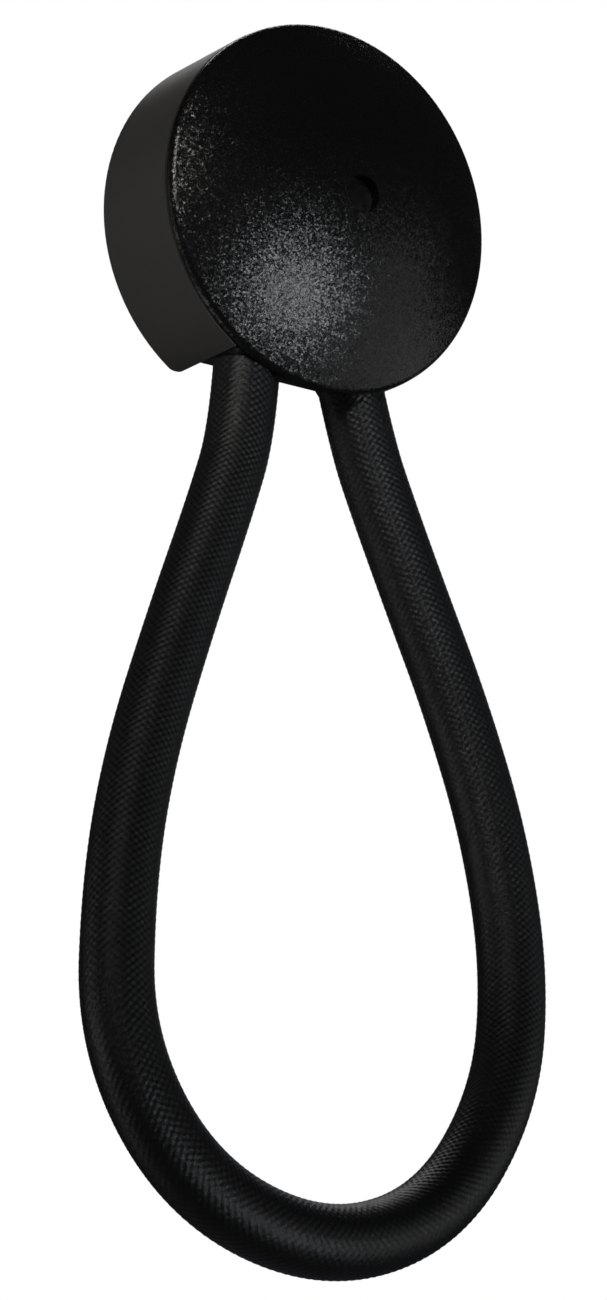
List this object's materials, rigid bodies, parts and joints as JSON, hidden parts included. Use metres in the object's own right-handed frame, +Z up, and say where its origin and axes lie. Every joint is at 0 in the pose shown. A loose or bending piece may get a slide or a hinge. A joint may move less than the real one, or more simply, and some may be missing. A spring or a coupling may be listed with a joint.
{
  "type": "retractable leash",
  "caption": "Wall-hung retractable leash: domed round reel case with a through bore, a bottom mouth and a docked yoke holding a thick braided hand loop.",
  "frame": {"origin": "on the reel's axis, in the plane of the case's back, where it meets the wall", "axes": "+Z up; +Y into the wall, along the reel's axis; the dome faces -Y; the hand loop hangs towards -Z"},
  "size_m": [0.095, 0.0521, 0.2268],
  "materials": {
    "cover": "black moulded plastic, coarse spark-eroded texture with a low sparkle",
    "shell": "dark grey moulded plastic, fine satin",
    "back_plate": "dark grey moulded plastic, fine satin",
    "rope": "black braided polyester rope, fine round picks",
    "line": "black braided line",
    "yoke": "black glass-filled nylon, satin",
    "nylon": "natural nylon",
    "bumper": "soft black rubber",
    "steel": "turned steel",
    "zinc_steel": "zinc-plated steel screws",
    "spring_steel": "blued spring steel",
    "bronze": "sintered bronze",
    "brass": "turned brass",
    "aluminium": "crimped aluminium"
  },
  "bodies": {
    "case": {"case_shell": "shell", "front_cover": "cover", "back_plate": "back_plate", "case_screws": "zinc_steel", "hollow_axle": "steel", "axle_circlip": "spring_steel", "thrust_washer_rear": "nylon", "thrust_washer_front": "nylon", "spring_arbor": "steel", "line_lead": "line", "line_guide": "brass", "dock_bumper": "bumper"},
    "reel": {"spool_drum": "nylon", "spring_cup": "nylon", "spring_lid": "nylon", "bush_rear": "bronze", "bush_front": "bronze", "wound_line": "line", "line_clip": "brass", "power_spring": "spring_steel"},
    "yoke": {"yoke_front": "yoke", "yoke_rear": "yoke", "yoke_screws": "zinc_steel", "ferrule_left": "aluminium", "ferrule_right": "aluminium", "rope_end_left": "rope", "rope_end_right": "rope", "line_bead": "aluminium", "line_run": "line", "rope_neck_left": "rope", "rope_neck_right": "rope"},
    "loop": {"hand_loop": "rope"}
  },
  "joints": [
    {"name": "loop_pull", "type": "slide", "parent": "case", "child": "yoke", "axis": [0, 0, -1], "range_m": [0, 1], "stiffness_N_per_m": 4, "springref_m": -1.5, "deforming": ["line_run"]},
    {"name": "spool_spin", "type": "hinge", "parent": "case", "child": "reel", "pos_m": [0, 0, 0], "axis": [0, 1, 0], "range_deg": [0, 5200]},
    {"name": "loop_swing", "type": "hinge", "parent": "yoke", "child": "loop", "pos_m": [0, -0.0159, -0.0366], "axis": [-1, 0, 0], "range_deg": [-12, 50], "stiffness_Nm_per_rad": 0.3, "springref_deg": 1.15, "deforming": ["rope_neck_left", "rope_neck_right"]}
  ],
  "couplings": [
    {"joint": "spool_spin", "follows": "loop_pull", "rad_per_m": 90.2}
  ]
}
